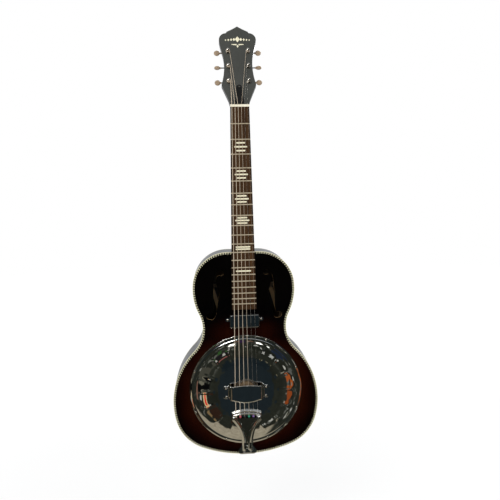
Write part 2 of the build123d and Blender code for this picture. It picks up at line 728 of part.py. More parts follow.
def fretboard():
    low = fret_z(FRETS) - BOARD_OVERHANG
    half_nut, half_low = NUT_WIDTH / 2, board_width(low) / 2
    corners = [(-half_nut, 0), (half_nut, 0), (half_low, low), (-half_low, low)]
    board = prism(make_face(Polyline(*corners, close=True)), 0, BOARD_THICKNESS)
    return board - prism(inlay_faces(), -1, INLAY_DEPTH) - side_dots()


INLAY_DEPTH = 1.2
INLAY_HEIGHT = 3.4
LONG_INLAY = 0.64
SHORT_INLAY = 0.45
INLAY_PITCH = 0.265


def inlay_faces():
    """Bars with round ends: short, long, short in spaces 3 to 9, two long in 12, one long in 15."""
    faces = Sketch()
    for fret, widths in ((3, 3), (5, 3), (7, 3), (9, 3), (12, 2), (15, 1)):
        middle = (fret_z(fret) + fret_z(fret - 1)) / 2
        pitch = INLAY_PITCH * (fret_z(fret - 1) - fret_z(fret))
        for row in range(widths):
            share = SHORT_INLAY if widths == 3 and row != 1 else LONG_INLAY
            z = middle + (row - (widths - 1) / 2) * pitch
            faces += Pos(0, z) * SlotOverall(share * board_width(z), INLAY_HEIGHT)
    return faces


def side_dot_points():
    points = []
    for fret in (3, 5, 7, 9, 12, 15):
        middle = (fret_z(fret) + fret_z(fret - 1)) / 2
        points.extend([middle - 4, middle + 4] if fret == 12 else [middle])
    return points


def side_dots():
    dots = []
    for z in side_dot_points():
        edge = -board_width(z) / 2
        dots.append(rod((edge - 0.02, 3.5, z), (edge + 2, 3.5, z), 1.0))
    return dots


def inlays():
    bars = prism(inlay_faces(), -0.02, INLAY_DEPTH)
    return group(list(bars.solids()) + side_dots())


def frets():
    """Fret wire crowns lying on the fretboard."""
    wires = []
    for number in range(1, FRETS + 1):
        z = fret_z(number)
        half = board_width(z) / 2 - 0.15
        low, high = (-half, 0, z - FRET_WIDTH / 2), (-half, 0, z + FRET_WIDTH / 2)
        crown = ThreePointArc(low, (-half, -FRET_HEIGHT, z), high)
        base = Line(high, low)
        wires.append(extrude(make_face([crown, base]), amount=2 * half, dir=(1, 0, 0)))
    return group(wires)


def nut():
    """Bone nut between the fretboard and the headstock face, slotted for the strings."""
    half = NUT_WIDTH / 2
    blank = block(-half, half, STRING_Y_NUT - 0.3, BOARD_THICKNESS, 0, NUT_THICKNESS)
    rear_edge = blank.edges().filter_by(Axis.X).sort_by(Axis.Y)[0:2].sort_by(Axis.Z)[-1]
    blank = fillet(rear_edge, 2.2)
    blank -= HEAD * block(-30, 30, 0, 60, -20, 0)
    for index in range(len(STRINGS)):
        blank -= string_path(index, 0.03)
    return blank


def truss_rod():
    return rod((0, 12.2, 26), (0, 12.2, -315), 2.5)


def truss_cover():
    """Bell-shaped plate behind the nut."""
    side = [(9.8, 1.5), (9.2, 12), (6.4, 26), (5.9, 38)]
    edges = [
        Spline(*side), ThreePointArc((5.9, 38), (0, 45.2), (-5.9, 38)),
        Spline(*[(-x, y) for x, y in reversed(side)]), Line((-9.8, 1.5), (9.8, 1.5)),
    ]
    plate = HEAD * extrude(make_face(edges), amount=1.8)
    plate -= block(-30, 30, -10, 20, -10, NUT_THICKNESS + 0.05)
    return plate - on_head(0, 40.5, -1, 3, 1.2)


def truss_screw():
    screw = on_head(0, 40.5, 1.8, 2.7, 2.1) - HEAD * Pos(0, 40.5, 2.7) * Box(5, 0.5, 0.8)
    return screw + on_head(0, 40.5, 0, 1.8, 1.15)


# Strings ------------------------------------------------------------------------------------

def string_x(index, spacing):
    return (index - (len(STRINGS) - 1) / 2) * spacing


def string_points(index):
    """Route of one string: anchor, saddle, nut, and the inner side of its post."""
    diameter = STRINGS[index][0]
    number, side, y = post_points()[index]
    reach = POST_RADIUS + 0.3 + diameter / 2
    post_end = HEAD * Pos(side * (POST_X - reach), y + 1.0, STRING_AT_POST)
    saddle_x = string_x(index, STRING_SPACING_SADDLE)
    nut_x = string_x(index, STRING_SPACING_NUT)
    return [
        Vector(saddle_x, ANCHOR_Y, ANCHOR_Z + 1.9), Vector(saddle_x, STRING_Y_SADDLE, -SCALE),
        Vector(nut_x, STRING_Y_NUT, 0.4), Vector(post_end.position),
    ]


def string_path(index, extra):
    """Taut string as straight runs with round corners, made larger all over by extra."""
    radius = STRINGS[index][0] / 2 + extra
    points = string_points(index)
    first_run, *runs = [rod(start, end, radius) for start, end in zip(points, points[1:])]
    corners = [Pos(point) * Sphere(radius) for point in points[1:-1]]
    return first_run.fuse(*runs, *corners)


def strings(wound):
    chosen = [index for index, (size, is_wound) in enumerate(STRINGS) if is_wound == wound]
    return group(string_path(index, 0) for index in chosen)


# Tuners -------------------------------------------------------------------------------------

def tuner_housing(side, y):
    """Plate on the back of the headstock with two ears that carry the worm shaft."""
    back = -HEAD_THICKNESS
    x, key_y = side * POST_X, y + WORM_OFFSET
    plate = HEAD * Pos(x, y + 1.5, back - 0.5) * Box(17, 23, 1.0)
    plate = fillet(plate.edges().filter_by(lambda e: abs(e.length - 1.0) < 0.01), 3.0)
    for end in (-1, 1):
        plate += HEAD * Pos(x + end * 5.6, key_y, (back + KEY_DEPTH - 2.6) / 2) * Box(1.6, 5.6, 6.0)
    axis = HEAD * Plane(origin=(x - 9, key_y, KEY_DEPTH), x_dir=(0, -1, 0), z_dir=(1, 0, 0))
    plate -= axis * Cylinder(KEY_RADIUS + RUNNING_GAP, 18, align=(Align.CENTER, Align.CENTER, Align.MIN))
    worm_room = HEAD * Pos(x, key_y, KEY_DEPTH) * Box(9.0, 5.8, 5.8)
    plate -= worm_room
    return plate - on_head(x, y, back - 2, back + 1, POST_RADIUS + 0.3)


def tuner_housings():
    return group(tuner_housing(side, y) for number, side, y in post_points())


def tuner_bushings():
    """Flanged sleeves pressed into the headstock face."""
    sleeves = []
    for number, side, y in post_points():
        sleeve = on_head(side * POST_X, y, -6, 0, 4.2) + on_head(side * POST_X, y, 0, 1.3, 5.2)
        sleeves.append(sleeve - on_head(side * POST_X, y, -7, 3, POST_RADIUS + RUNNING_GAP))
    return group(sleeves)


def gear_face():
    """Gear outline with straight-sided teeth and a gap facing the worm."""
    face = Circle(GEAR_ROOT_RADIUS)
    corners = [(3.0, -0.48), (GEAR_TIP_RADIUS, -0.24), (GEAR_TIP_RADIUS, 0.24), (3.0, 0.48)]
    tooth = make_face(Polyline(*corners, close=True))
    for index in range(GEAR_TEETH):
        face += Rot(0, 0, 90 + (index + 0.5) * 360 / GEAR_TEETH) * tooth
    return face


def string_post(side, y):
    """Slotted string post with its gear and gear screw."""
    x = side * POST_X
    low = KEY_DEPTH - GEAR_THICKNESS / 2
    post = on_head(x, y, low, POST_HEIGHT, POST_RADIUS)
    post += HEAD * Pos(x, y, POST_HEIGHT) * (scale(Sphere(POST_RADIUS), by=(1, 1, 0.3)))
    post += HEAD * Pos(x, y, low) * extrude(gear_face(), amount=GEAR_THICKNESS)
    post += on_head(x, y, low - 1.2, low, 2.4)
    hole = HEAD * Pos(x, y, 7.0) * Rot(0, 90, 0) * Cylinder(0.9, 12)
    return post - hole


def worm():
    """Single-start right-hand worm about its own Z axis; a crest faces its own X at z = 0."""
    pitch = 2 * pi * GEAR_PITCH_RADIUS / GEAR_TEETH
    helix = Helix(pitch=pitch, height=4 * pitch, radius=WORM_CORE_RADIUS)
    inner, outer = -0.15, WORM_TIP_RADIUS - WORM_CORE_RADIUS
    profile = Plane(origin=(WORM_CORE_RADIUS, 0, 0), x_dir=(1, 0, 0), z_dir=(0, 1, 0))
    tooth = make_face(Polyline((inner, -0.42), (outer, -0.2), (outer, 0.2), (inner, 0.42), close=True))
    thread = sweep(profile * tooth, path=helix, is_frenet=True)
    return Pos(0, 0, -2 * pitch) * thread


def worm_shaft(side, y):
    """Worm and key shaft, running from the inner ear out to the button."""
    x, key_y = side * POST_X, y + WORM_OFFSET
    axis = HEAD * Plane(origin=(x, key_y, KEY_DEPTH), x_dir=(0, -1, 0), z_dir=(1, 0, 0))
    start, end = sorted((-side * 7.4, side * (BUTTON_X - POST_X - 2.0)))
    upright = (Align.CENTER, Align.CENTER, Align.MIN)
    shaft = axis * Pos(0, 0, start) * Cylinder(KEY_RADIUS, end - start, align=upright)
    return shaft + axis * worm()


def tuner_button(side, y, edge_on):
    """Oval button moulded on the shaft's end."""
    key_y = y + WORM_OFFSET
    pad = extrude(Ellipse(6.6, 6.1), amount=2.6, both=True)
    pad = fillet(pad.edges(), 2.2)
    collar = Pos(-side * 6.6, 0, 0) * Rot(0, 90, 0) * Cylinder(2.2, 3.6)
    button = Rot(90 if edge_on else 0, 0, 0) * (pad + collar)
    button = HEAD * Pos(side * BUTTON_X, key_y, KEY_DEPTH) * button
    bore_start = side * (BUTTON_X - 12)
    axis = HEAD * Plane(origin=(bore_start, key_y, KEY_DEPTH), x_dir=(0, 1, 0), z_dir=(side, 0, 0))
    return button - axis * Cylinder(KEY_RADIUS, 10.0, align=(Align.CENTER, Align.CENTER, Align.MIN))


def purfling():
    """Strip let into the top's edge, inside the binding."""
    return edge_ring(SIDE_THICKNESS, SIDE_THICKNESS + PURFLING_WIDTH, TOP_Y, TOP_Y + PURFLING_DEPTH)


def build():
    parts = {
        "soundboard": soundboard(),
        "back": prism(body_face(SIDE_THICKNESS), TOP_Y, TOP_Y + 100) & back_slab(0, BACK_THICKNESS),
        "side_left": side_half(-1),
        "side_right": side_half(1),
        "binding_top": edge_ring(0, SIDE_THICKNESS, TOP_Y, TOP_Y + BINDING_HEIGHT),
        "purfling": purfling(),
        "binding_back": edge_ring(0, SIDE_THICKNESS, TOP_Y, TOP_Y + 100) & back_slab(0, BINDING_HEIGHT),
        "linings": linings(),
        "neck_block": neck_block(),
        "end_block": end_block(),
        "braces": braces(),
        "soundwell": soundwell(),
        "cone": cone(),
        "biscuit": biscuit(),
        "saddle": saddle(),
        "cone_screw": cone_screw(),
        "coverplate": coverplate(),
        "coverplate_screws": coverplate_screws(),
        "handrest": handrest(),
        "handrest_screws": handrest_screws(),
        "tailpiece": tailpiece(),
        "tail_bracket": tail_bracket(),
        "tailpiece_pin": tailpiece_pin(),
        "end_pin_jack": end_pin_jack(),
        "jack_nut": jack_nut(),
        "pickup_cover": pickup_cover(),
        "pickup_core": pickup_core(),
        "pickup_screws": pickup_screws(),
        "neck": neck(),
        "fretboard": fretboard(),
        "frets": frets(),
        "inlays": inlays(),
        "nut": nut(),
        "head_veneer": head_veneer(),
        "truss_rod": truss_rod(),
        "truss_cover": truss_cover(),
        "truss_screw": truss_screw(),
        "wound_strings": strings(True),
        "plain_strings": strings(False),
        "ball_ends": ball_ends(),
        "tuner_housings": tuner_housings(),
        "tuner_bushings": tuner_bushings(),
    }
    for number, side, y in post_points():
        edge_on = y == POST_ROWS[1]
        parts[f"tuner_{number}_post"] = string_post(side, y)
        parts[f"tuner_{number}_worm"] = worm_shaft(side, y)
        parts[f"tuner_{number}_button"] = tuner_button(side, y, edge_on)
    return parts


os.makedirs("parts", exist_ok=True)
for name, shape in build().items():
    export_step(shape, f"parts/{name}.step")
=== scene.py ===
import math

import bmesh
import bpy
from mathutils import Matrix, Vector


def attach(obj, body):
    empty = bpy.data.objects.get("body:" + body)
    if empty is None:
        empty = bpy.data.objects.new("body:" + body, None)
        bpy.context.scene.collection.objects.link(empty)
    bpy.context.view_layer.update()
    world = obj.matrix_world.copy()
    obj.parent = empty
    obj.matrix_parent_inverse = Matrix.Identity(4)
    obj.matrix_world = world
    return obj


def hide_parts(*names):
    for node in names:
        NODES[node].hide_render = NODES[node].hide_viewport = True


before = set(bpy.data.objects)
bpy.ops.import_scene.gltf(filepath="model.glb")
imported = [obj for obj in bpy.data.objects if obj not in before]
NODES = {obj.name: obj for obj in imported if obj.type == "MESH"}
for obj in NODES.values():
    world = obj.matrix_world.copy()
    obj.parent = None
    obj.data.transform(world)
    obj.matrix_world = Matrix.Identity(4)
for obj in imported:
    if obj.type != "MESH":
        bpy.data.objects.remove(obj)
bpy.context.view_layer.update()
MM = 0.001

# Sizes repeated from the part, in millimetres
BODY_ARCS = ((283.0, 22.1), (99.5, 53.2), (173.0, 59.9), (-78.0, 71.1), (129.0, 32.5), (80.6, 83.4))
TAIL_Z = -808.816
CONE_Z = -650.0
COVER_SHEET = 0.9
HEAD_ORIGIN = Vector((0, 2.2, 5.5))
HEAD_TILT = math.radians(14)
POST_ROWS = (53.5, 89.0, 124.5)
POST_X = 22.3
POST_RADIUS = 3.0
STRINGS = (1.42, 1.17, 0.91, 0.66, 0.43, 0.33)
TOP_Y = 7.0

# Fretboard half width in metres at the nut, and its growth for each metre towards the body
NUT_HALF_WIDTH = 0.0210
BOARD_FLARE = 0.0165


# Shader helpers -----------------------------------------------------------------------------

class Tree:
    """Small wrapper that adds nodes to a node tree and links what it is given."""

    def __init__(self, tree):
        self.tree = tree

    def add(self, kind, inputs=None, **properties):
        node = self.tree.nodes.new(kind)
        for key, value in properties.items():
            setattr(node, key, value)
        for key, value in (inputs or {}).items():
            self.set(node.inputs[key], value)
        return node

    def set(self, socket, value):
        if isinstance(value, bpy.types.NodeSocket):
            self.tree.links.new(value, socket)
        else:
            socket.default_value = value

    def math(self, operation, *values, clamp=False):
        node = self.add("ShaderNodeMath", operation=operation, use_clamp=clamp)
        for socket, value in zip(node.inputs, values):
            self.set(socket, value)
        return node.outputs[0]

    def step(self, value, low, high, to_low=0.0, to_high=1.0):
        """Smooth change from to_low to to_high as value goes from low to high."""
        node = self.add("ShaderNodeMapRange", interpolation_type="SMOOTHSTEP")
        for key, item in zip(("Value", "From Min", "From Max", "To Min", "To Max"),
                             (value, low, high, to_low, to_high)):
            self.set(node.inputs[key], item)
        return node.outputs[0]

    def mix(self, factor, first, second):
        node = self.add("ShaderNodeMix", data_type="RGBA")
        self.set(node.inputs[0], factor)
        self.set(node.inputs[6], first)
        self.set(node.inputs[7], second)
        return node.outputs[2]

    def ramp(self, factor, stops, interpolation="LINEAR"):
        node = self.add("ShaderNodeValToRGB")
        node.color_ramp.interpolation = interpolation
        while len(node.color_ramp.elements) < len(stops):
            node.color_ramp.elements.new(0.5)
        for element, (place, colour) in zip(node.color_ramp.elements, stops):
            element.position = place
            element.color = (*colour, 1)
        self.set(node.inputs[0], factor)
        return node.outputs[0]

    def point(self, stretch=(1, 1, 1)):
        """Object coordinates in metres, stretched."""
        place = self.add("ShaderNodeTexCoord").outputs["Object"]
        return self.add("ShaderNodeMapping", {"Vector": place, "Scale": stretch}).outputs[0]

    def noise(self, stretch, detail=3.0, rough=0.55, distortion=0.0):
        inputs = {"Vector": self.point(stretch), "Scale": 1.0, "Detail": detail,
                  "Roughness": rough, "Distortion": distortion}
        return self.add("ShaderNodeTexNoise", inputs).outputs[0]

    def split(self, vector):
        return self.add("ShaderNodeSeparateXYZ", {0: vector}).outputs

    def bump(self, height, distance, strength=1.0):
        inputs = {"Height": height, "Distance": distance, "Strength": strength}
        return self.add("ShaderNodeBump", inputs).outputs[0]


def new_material(name, **sockets):
    """Material with one Principled shader; sockets are given with _ for a space."""
    material = bpy.data.materials.new(name)
    material.use_nodes = True
    shader = material.node_tree.nodes["Principled BSDF"]
    tree = Tree(material.node_tree)
    for key, value in sockets.items():
        tree.set(shader.inputs[key.replace("_", " ")], value)
    return material, tree, shader


def finish_material(tree, shader, colour=None, roughness=None, normal=None):
    if colour is not None:
        tree.set(shader.inputs["Base Color"], colour)
    if roughness is not None:
        tree.set(shader.inputs["Roughness"], roughness)
    if normal is not None:
        tree.set(shader.inputs["Normal"], normal)


# Materials ----------------------------------------------------------------------------------

def metal(name, dark, light, rough, spread, scratch=0.00001, tint_scale=60, metallic=1.0):
    """Polished or satin metal with faint blotches, fine scratches and uneven polish."""
    material, tree, shader = new_material(name, Metallic=metallic)
    blotch = tree.noise((tint_scale,) * 3, 4)
    streak = tree.noise((900, 900, 60), 2)
    colour = tree.ramp(blotch, [(0.3, dark), (0.7, light)])
    roughness = tree.step(blotch, 0.35, 0.75, rough, rough + spread)
    normal = tree.bump(streak, scratch)
    finish_material(tree, shader, colour, roughness, normal)
    return material


def lacquered_top():
    """Gloss black top with a dark red-brown burst around the plate and waist, bare wood inside."""
    material, tree, shader = new_material(
        "burst_lacquer_finish", Coat_Weight=0.55, Coat_Roughness=0.025, Coat_IOR=1.5,
        Specular_IOR_Level=0.0)
    x, y, z = tree.split(tree.add("ShaderNodeTexCoord").outputs["Object"])
    wobble = tree.math("MULTIPLY", tree.math("SUBTRACT", tree.noise((14, 14, 14), 3), 0.5), 0.10)

    def ellipse(centre_z, half_x, half_z):
        across = tree.math("DIVIDE", x, half_x)
        along = tree.math("DIVIDE", tree.math("SUBTRACT", z, centre_z), half_z)
        square = tree.math("ADD", tree.math("POWER", tree.math("ABSOLUTE", across), 2.4),
                           tree.math("POWER", tree.math("ABSOLUTE", along), 2.4))
        return tree.math("ADD", tree.math("POWER", square, 1 / 2.4), wobble)

    lower = tree.step(ellipse(-0.655, 0.180, 0.162), 1.0, 0.70)
    waist = tree.step(ellipse(-0.515, 0.112, 0.050), 1.02, 0.30)
    burst = tree.math("MAXIMUM", lower, tree.math("MULTIPLY", waist, 0.8))
    grain = tree.noise((420, 420, 9), 4, 0.65, 0.3)
    figure = tree.noise((30, 30, 12), 3)
    strength = tree.math("MULTIPLY", tree.step(grain, 0.3, 0.7, 0.90, 1.08),
                         tree.step(figure, 0.3, 0.7, 0.86, 1.1))
    warm = tree.math("MULTIPLY", burst, strength)
    paint = tree.ramp(warm, [(0.0, (0.0006, 0.0004, 0.0004)), (0.35, (0.0034, 0.0006, 0.0003)),
                             (0.75, (0.0080, 0.0012, 0.0004)), (1.0, (0.0125, 0.0024, 0.0007))])
    inside = tree.step(y, (TOP_Y + 0.9) * MM, (TOP_Y + 1.1) * MM)
    wood = tree.ramp(grain, [(0.25, (0.42, 0.26, 0.12)), (0.75, (0.62, 0.42, 0.22))])
    colour = tree.mix(inside, paint, wood)
    skin = tree.noise((900, 900, 900), 1)
    finish_material(tree, shader, colour, tree.step(figure, 0.3, 0.7, 0.30, 0.42),
                    tree.bump(grain, 0.000004))
    tree.set(shader.inputs["Coat Normal"], tree.bump(skin, 0.0000015))
    return material


def lacquered_box():
    """Gloss black outside of sides and back; inside, painted shade on bare wood, painted light opposite the
    f-holes.
    """
    material, tree, shader = new_material(
        "black_lacquer_finish", Coat_Weight=1.0, Coat_Roughness=0.03, Specular_IOR_Level=0.2)
    place = tree.add("ShaderNodeTexCoord").outputs["Object"]
    facing = tree.add("ShaderNodeNewGeometry").outputs["Normal"]
    centre = tree.add("ShaderNodeVectorMath", {0: place, 1: (0, 0.045, -0.535)}, operation="SUBTRACT")
    outward = tree.add("ShaderNodeVectorMath", {0: centre.outputs[0], 1: facing},
                       operation="DOT_PRODUCT").outputs["Value"]
    grain = tree.noise((30, 200, 7), 4, 0.6, 0.4)
    figure = tree.noise((22, 22, 22), 2)
    paint = tree.ramp(figure, [(0.3, (0.0022, 0.0017, 0.0016)), (0.7, (0.0052, 0.0034, 0.0030))])
    x, _, z = tree.split(place)
    drift = tree.math("MULTIPLY", tree.math("ADD", z, 0.445), 0.30)
    off_left = tree.math("ABSOLUTE", tree.math("ADD", x, tree.math("ADD", 0.0655, drift)))
    off_right = tree.math("ABSOLUTE", tree.math("SUBTRACT", x, tree.math("SUBTRACT", 0.0765, drift)))
    # Where the painted light falls on the inner wood: bands opposite the two f-holes
    painted_light_across = tree.step(tree.math("MINIMUM", off_left, off_right), 0.0065, 0.0035)
    painted_light_along = tree.step(tree.math("ABSOLUTE", tree.math("ADD", z, 0.448)), 0.036, 0.024)
    # Inner wood in two tones: darkened by painted shade, and paler in the patch of painted light
    painted_shade_wood = tree.ramp(grain, [(0.25, (0.012, 0.007, 0.004)), (0.75, (0.024, 0.015, 0.008))])
    lit = tree.ramp(grain, [(0.25, (0.34, 0.22, 0.10)), (0.75, (0.52, 0.36, 0.18))])
    wood = tree.mix(tree.math("MULTIPLY", painted_light_across, painted_light_along), painted_shade_wood, lit)
    colour = tree.mix(tree.step(outward, 0.0, 0.002), wood, paint)
    finish_material(tree, shader, colour, tree.step(figure, 0.3, 0.7, 0.28, 0.4),
                    tree.bump(grain, 0.000005))
    tree.set(shader.inputs["Coat Normal"], tree.bump(tree.noise((700, 700, 700), 1), 0.0000015))
    return material


def wood(name, dark, light, stretch, rough, depth=0.00002, coat=0.0, pores=True, shine=0.4):
    """Straight-grained timber with pores, along the Z axis unless stretched otherwise."""
    material, tree, shader = new_material(name, Coat_Weight=coat, Coat_Roughness=0.12,
                                          Specular_IOR_Level=shine)
    grain = tree.noise(stretch, 5, 0.62, 0.6)
    band = tree.noise(tuple(value * 0.22 for value in stretch), 3, 0.5, 0.8)
    fine = tree.noise(tuple(value * 3.2 for value in stretch), 2)
    blend = tree.math("ADD", tree.math("MULTIPLY", grain, 0.55), tree.math("MULTIPLY", band, 0.45))
    middle = tuple((a + b) / 2 for a, b in zip(dark, light))
    colour = tree.ramp(blend, [(0.32, dark), (0.5, middle), (0.68, light)])
    if pores:
        pore = tree.step(fine, 0.34, 0.42)
        colour = tree.mix(pore, (*(value * 0.35 for value in dark), 1), colour)
    finish_material(tree, shader, colour, tree.step(grain, 0.3, 0.7, rough + 0.08, rough - 0.05),
                    tree.bump(fine, depth))
    return material


def plastic(name, dark, light, rough, scale=90, coat=0.0, depth=0.000004, **sockets):
    """Moulded or polished plastic, bone or celluloid with slight clouding."""
    material, tree, shader = new_material(name, Coat_Weight=coat, Coat_Roughness=0.05, **sockets)
    cloud = tree.noise((scale, scale, scale), 4, 0.6, 0.5)
    fine = tree.noise((scale * 12,) * 3, 2)
    colour = tree.ramp(cloud, [(0.3, dark), (0.7, light)])
    finish_material(tree, shader, colour, tree.step(fine, 0.3, 0.7, rough - 0.05, rough + 0.07),
                    tree.bump(fine, depth))
    return material


def pearl(name, dark, light, rough=0.22):
    """Pearloid: swirled flakes of two tones under a clear coat."""
    material, tree, shader = new_material(name, Coat_Weight=0.6, Coat_Roughness=0.06)
    swirl = tree.noise((160, 160, 160), 3, 0.6, 2.2)
    cells = tree.add("ShaderNodeTexVoronoi", {"Vector": tree.point((420, 420, 260)), "Scale": 1.0})
    shade = tree.math("ADD", tree.math("MULTIPLY", swirl, 0.65),
                      tree.math("MULTIPLY", cells.outputs["Distance"], 0.35))
    colour = tree.ramp(shade, [(0.25, dark), (0.6, light)])
    finish_material(tree, shader, colour, tree.step(swirl, 0.3, 0.7, rough, rough + 0.15),
                    tree.bump(swirl, 0.000008))
    return material


def wound_wire(name, dark, light):
    """Round-wound string: fine ridges along its length, with painted shade between the turns."""
    material, tree, shader = new_material(name, Metallic=0.25, Specular_IOR_Level=0.8)
    ridges = tree.add("ShaderNodeTexWave", {"Vector": tree.point(), "Scale": 620.0, "Distortion": 0.0},
                      wave_type="BANDS", bands_direction="Z").outputs["Fac"]
    tone = tree.noise((50, 50, 50), 3)
    bright = tree.ramp(tone, [(0.3, dark), (0.7, light)])
    # Painted shade in the grooves between the turns
    colour = tree.mix(tree.step(ridges, 0.0, 0.35), (*(value * 0.6 for value in dark), 1), bright)
    finish_material(tree, shader, colour, tree.step(tone, 0.3, 0.7, 0.30, 0.45),
                    tree.bump(ridges, 0.00002))
    return material


def coloured_balls():
    """Ball ends of the string set, each with its own dyed colour by place."""
    material, tree, shader = new_material("ball_end_finish", Metallic=0.3)
    x = tree.split(tree.add("ShaderNodeTexCoord").outputs["Object"])[0]
    place = tree.add("ShaderNodeMapRange", {"Value": x, "From Min": -0.0309, "From Max": 0.0309})
    colours = [(0.0, (0.62, 0.54, 0.38)), (0.17, (0.62, 0.10, 0.14)), (0.34, (0.04, 0.04, 0.045)),
               (0.5, (0.02, 0.42, 0.24)), (0.67, (0.30, 0.16, 0.48)), (0.84, (0.70, 0.69, 0.68))]
    colour = tree.ramp(place.outputs[0], colours, "CONSTANT")
    cloud = tree.noise((500, 500, 500), 2)
    worn = tree.mix(tree.step(cloud, 0.5, 0.75, 0.0, 0.4), colour, (0.5, 0.42, 0.3, 1))
    finish_material(tree, shader, worn, tree.step(cloud, 0.3, 0.7, 0.22, 0.4))
    return material


def headstock_face():
    """Satin black veneer with faint long grain."""
    material, tree, shader = new_material("head_face_finish", Specular_IOR_Level=0.5)
    grain = tree.noise((260, 260, 10), 4, 0.6, 0.4)
    cloud = tree.noise((18, 18, 18), 3)
    blend = tree.math("ADD", tree.math("MULTIPLY", grain, 0.4), tree.math("MULTIPLY", cloud, 0.6))
    colour = tree.ramp(blend, [(0.3, (0.032, 0.034, 0.029)), (0.7, (0.043, 0.046, 0.039))])
    finish_material(tree, shader, colour, tree.step(cloud, 0.3, 0.7, 0.42, 0.52),
                    tree.bump(grain, 0.00001))
    return material


def rosewood():
    """Open-grained brown timber of the fretboard, darker within a few millimetres of its edges."""
    material, tree, shader = new_material("rosewood_finish", Specular_IOR_Level=0.08)
    grain = tree.noise((330, 330, 13), 5, 0.62, 0.6)
    band = tree.noise((72, 72, 3), 3, 0.5, 0.8)
    pore = tree.noise((1050, 1050, 42), 2)
    blend = tree.math("ADD", tree.math("MULTIPLY", grain, 0.55), tree.math("MULTIPLY", band, 0.45))
    colour = tree.ramp(blend, [(0.32, (0.018, 0.0082, 0.0034)), (0.5, (0.046, 0.0225, 0.0092)),
                               (0.68, (0.078, 0.040, 0.0160))])
    colour = tree.mix(tree.step(pore, 0.34, 0.42), (0.006, 0.003, 0.0015, 1), colour)
    x, _, z = tree.split(tree.add("ShaderNodeTexCoord").outputs["Object"])
    half_width = tree.math("SUBTRACT", NUT_HALF_WIDTH, tree.math("MULTIPLY", z, BOARD_FLARE))
    inside = tree.math("SUBTRACT", half_width, tree.math("ABSOLUTE", x))
    dark = tree.step(inside, 0.0035, 0.0015)
    colour = tree.mix(tree.math("MULTIPLY", dark, 0.8), colour, (0.006, 0.0036, 0.0024, 1))
    finish_material(tree, shader, colour, tree.step(grain, 0.3, 0.7, 0.58, 0.45), tree.bump(pore, 0.00002))
    return material


MATERIALS = {
    "burst_lacquer": lacquered_top(),
    "black_lacquer": lacquered_box(),
    "cream_binding": plastic("cream_binding_finish", (0.58, 0.54, 0.34), (0.72, 0.68, 0.47), 0.3, 40, 0.3),
    "raw_spruce": wood("raw_spruce_finish", (0.075, 0.048, 0.024), (0.13, 0.088, 0.047),
                       (260, 260, 14), 0.6),
    "raw_mahogany": wood("raw_mahogany_finish", (0.24, 0.115, 0.055), (0.42, 0.22, 0.11),
                         (200, 200, 16), 0.6),
    "spun_aluminium": metal("spun_aluminium_finish", (0.62, 0.63, 0.65), (0.80, 0.81, 0.82), 0.25, 0.15),
    # Maple parts kept dark brown: painted shade for the shadow inside the plate's opening
    "maple": wood("maple_painted_shade_finish", (0.13, 0.085, 0.045), (0.24, 0.165, 0.09), (180, 180, 20), 0.5),
    "steel": metal("steel_finish", (0.52, 0.49, 0.44), (0.68, 0.65, 0.60), 0.25, 0.12, metallic=0.85),
    "chrome": metal("chrome_finish", (0.80, 0.81, 0.80), (0.90, 0.91, 0.90), 0.015, 0.020, 0.0000004),
    "nickel": metal("nickel_finish", (0.62, 0.59, 0.53), (0.78, 0.75, 0.69), 0.12, 0.10, 0.000002),
    "black_plastic": plastic("black_plastic_finish", (0.003, 0.003, 0.003), (0.007, 0.007, 0.007), 0.35, 60,
                             Specular_IOR_Level=0.2),
    "neck_lacquer": wood("neck_lacquer_finish", (0.010, 0.0050, 0.0035), (0.026, 0.011, 0.0065),
                         (150, 150, 9), 0.35, 0.000003, 0.9, False),
    "rosewood": rosewood(),
    "fret_wire": metal("fret_wire_finish", (0.50, 0.42, 0.29), (0.64, 0.56, 0.41), 0.3, 0.12,
                       0.000002, 60, 0.45),
    "cream_inlay": pearl("cream_inlay_finish", (0.60, 0.56, 0.38), (0.84, 0.79, 0.58)),
    "bone": plastic("bone_finish", (0.66, 0.61, 0.45), (0.80, 0.76, 0.62), 0.32, 120),
    "head_face": headstock_face(),
    "bronze": wound_wire("bronze_finish", (0.62, 0.51, 0.38), (0.78, 0.66, 0.51)),
    "ball_brass": coloured_balls(),
    "dark_steel": metal("dark_steel_finish", (0.06, 0.06, 0.06), (0.12, 0.12, 0.12), 0.3, 0.15),
    # Cream tuner buttons given a tan-brown colour: painted shade
    "cream_button": pearl("cream_button_painted_shade_finish", (0.24, 0.165, 0.10), (0.37, 0.27, 0.175)),
}
ROPE_DARK = plastic("rope_dark_finish", (0.004, 0.004, 0.004), (0.010, 0.009, 0.008), 0.3, 200, 0.5)


def dress_nodes():
    """Every CAD node takes the finish of its own slot."""
    for node in NODES.values():
        for slot in node.material_slots:
            name = slot.material.name.split(".")[0]
            if name in MATERIALS:
                slot.material = MATERIALS[name]


# Mesh helpers -------------------------------------------------------------------------------

def add_piece(name, points, faces, materials, body, smooth=35, replaces=(), face_material=None):
    """Makes an object from points in millimetres and lets it ride on a body."""
    mesh = bpy.data.meshes.new(name)
    mesh.from_pydata([Vector(point) * MM for point in points], [], faces)
    for material in materials:
        mesh.materials.append(material)
    if face_material is not None:
        mesh.polygons.foreach_set("material_index", face_material)
    work = bmesh.new()
    work.from_mesh(mesh)
    bmesh.ops.recalc_face_normals(work, faces=work.faces)
    work.to_mesh(mesh)
    work.free()
    mesh.shade_smooth()
    mesh.set_sharp_from_angle(angle=math.radians(smooth))
    piece = bpy.data.objects.new(name, mesh)
    bpy.context.scene.collection.objects.link(piece)
    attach(piece, body)
    if replaces:
        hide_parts(*replaces)
    return piece


